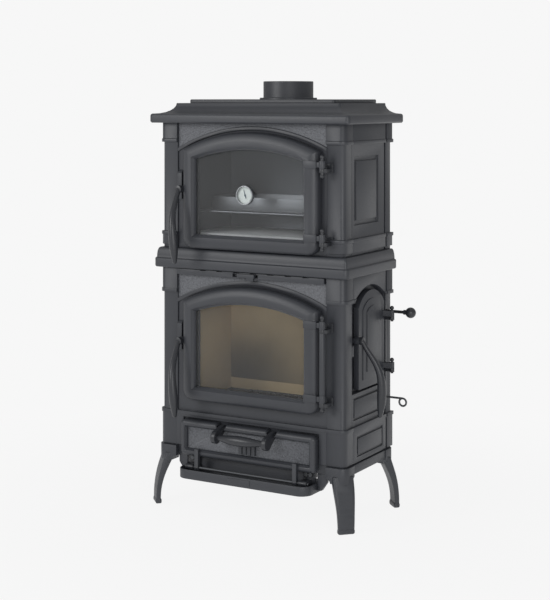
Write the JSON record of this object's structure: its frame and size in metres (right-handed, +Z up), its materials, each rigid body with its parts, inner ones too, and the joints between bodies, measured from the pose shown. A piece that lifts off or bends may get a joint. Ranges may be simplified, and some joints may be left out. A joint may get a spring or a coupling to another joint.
{
  "type": "wood stove with oven",
  "caption": "Tall cast iron wood stove on curved legs, with a glazed arched fire door, a glazed oven above it, a side loading door, an ash door and a round flue collar on top.",
  "frame": {"origin": "middle of the footprint box, on the floor", "axes": "+X to the right seen from the front, +Y to the back, +Z up along the flue collar"},
  "size_m": [0.7311, 0.4248, 1.249],
  "materials": {
    "cast_iron": "satin dark grey heat-proof paint",
    "cast_iron_inner": "bare, sooty",
    "blackened_steel": "blackened, matt",
    "bright_steel": "bright, satin",
    "ceramic_glass": "clear, faintly smoked",
    "clear_glass": "clear",
    "rope_seal": "knitted glass rope, black",
    "dial_white": "matt white with a printed scale arc, no text",
    "needle_blue": "matt grey-blue",
    "fire_brick": "matt beige refractory board"
  },
  "bodies": {
    "stove": {"base_frame": "cast_iron", "legs": "cast_iron", "lower_posts": "cast_iron", "upper_posts": "cast_iron", "lower_front_plate": "cast_iron", "upper_front_plate": "cast_iron", "right_lower_panel": "cast_iron", "left_lower_panel": "cast_iron", "right_upper_panel": "cast_iron", "left_upper_panel": "cast_iron", "lower_back_panel": "cast_iron", "upper_back_panel": "cast_iron", "panel_screws": "blackened_steel", "middle_ledge": "cast_iron", "top_plate": "cast_iron", "top_cover": "cast_iron", "flue_collar": "cast_iron", "air_guide": "cast_iron", "door_hinge_pins": "blackened_steel", "door_hinge_brackets": "cast_iron", "door_keepers": "cast_iron", "ash_door_hinge_rod": "bright_steel", "ash_door_hinge_brackets": "cast_iron", "ash_door_bolts": "bright_steel", "ash_ledge": "cast_iron", "ash_ledge_nameplate": "cast_iron", "ash_ledge_brackets": "cast_iron", "ash_pan": "blackened_steel", "firebox_floor": "cast_iron_inner", "firebox_liners": "fire_brick", "oven_box": "blackened_steel", "oven_floor_slab": "fire_brick", "oven_rack": "bright_steel", "baking_tray": "bright_steel", "rod_bushes": "cast_iron"},
    "fire_door": {"fire_door_frame": "cast_iron", "fire_door_glass": "ceramic_glass", "fire_door_seal": "rope_seal", "fire_door_glass_clips": "blackened_steel", "fire_door_hinge_sleeve": "cast_iron"},
    "fire_handle": {"fire_door_handle": "cast_iron"},
    "oven_door": {"oven_door_frame": "cast_iron", "oven_door_glass": "ceramic_glass", "oven_door_seal": "rope_seal", "oven_door_glass_clips": "blackened_steel", "thermometer_case": "bright_steel", "thermometer_dial": "dial_white", "thermometer_lens": "clear_glass"},
    "oven_handle": {"oven_door_handle": "cast_iron"},
    "needle": {"thermometer_needle": "needle_blue"},
    "side_leaf": {"side_door": "cast_iron", "side_door_seal": "rope_seal"},
    "side_handle": {"side_door_handle": "cast_iron"},
    "ash_leaf": {"ash_door": "cast_iron"},
    "ash_bail": {"ash_door_handle": "cast_iron"},
    "air_shutter": {"air_slider": "cast_iron"},
    "damper": {"damper_rod": "blackened_steel", "damper_knob": "cast_iron"},
    "shaker": {"grate": "cast_iron_inner", "shaker_rod": "bright_steel"}
  },
  "joints": [
    {"name": "fire_door_hinge", "type": "hinge", "parent": "stove", "child": "fire_door", "pos_m": [0.22006, -0.14018, 0.491], "axis": [0, 0, 1], "range_deg": [0, 110]},
    {"name": "fire_handle_turn", "type": "hinge", "parent": "fire_door", "child": "fire_handle", "pos_m": [-0.25394, -0.14418, 0.488], "axis": [0, 1, 0], "range_deg": [0, 60]},
    {"name": "oven_door_hinge", "type": "hinge", "parent": "stove", "child": "oven_door", "pos_m": [0.22006, -0.14018, 0.912], "axis": [0, 0, 1], "range_deg": [0, 110]},
    {"name": "oven_handle_turn", "type": "hinge", "parent": "oven_door", "child": "oven_handle", "pos_m": [-0.25394, -0.14418, 0.932], "axis": [0, 1, 0], "range_deg": [0, 60]},
    {"name": "needle_turn", "type": "hinge", "parent": "oven_door", "child": "needle", "pos_m": [-0.03295, -0.13378, 0.921], "axis": [0, 1, 0], "range_deg": [-118, 152]},
    {"name": "side_door_hinge", "type": "hinge", "parent": "stove", "child": "side_leaf", "pos_m": [0.29606, 0.14882, 0.498], "axis": [0, 0, 1], "range_deg": [0, 80]},
    {"name": "side_handle_turn", "type": "hinge", "parent": "side_leaf", "child": "side_handle", "pos_m": [0.28606, -0.02618, 0.516], "axis": [-1, 0, 0], "range_deg": [0, 60]},
    {"name": "ash_door_hinge", "type": "hinge", "parent": "stove", "child": "ash_leaf", "pos_m": [-0.02994, -0.13718, 0.124], "axis": [1, 0, 0], "range_deg": [0, 70]},
    {"name": "ash_bail_swing", "type": "hinge", "parent": "ash_leaf", "child": "ash_bail", "pos_m": [-0.02994, -0.12418, 0.247], "axis": [-1, 0, 0], "range_deg": [0, 40]},
    {"name": "air_slide", "type": "slide", "parent": "stove", "child": "air_shutter", "axis": [1, 0, 0], "range_m": [-0.01, 0.01]},
    {"name": "damper_slide", "type": "slide", "parent": "stove", "child": "damper", "axis": [1, 0, 0], "range_m": [0, 0.06]},
    {"name": "shaker_slide", "type": "slide", "parent": "stove", "child": "shaker", "axis": [1, 0, 0], "range_m": [0, 0.03]}
  ]
}
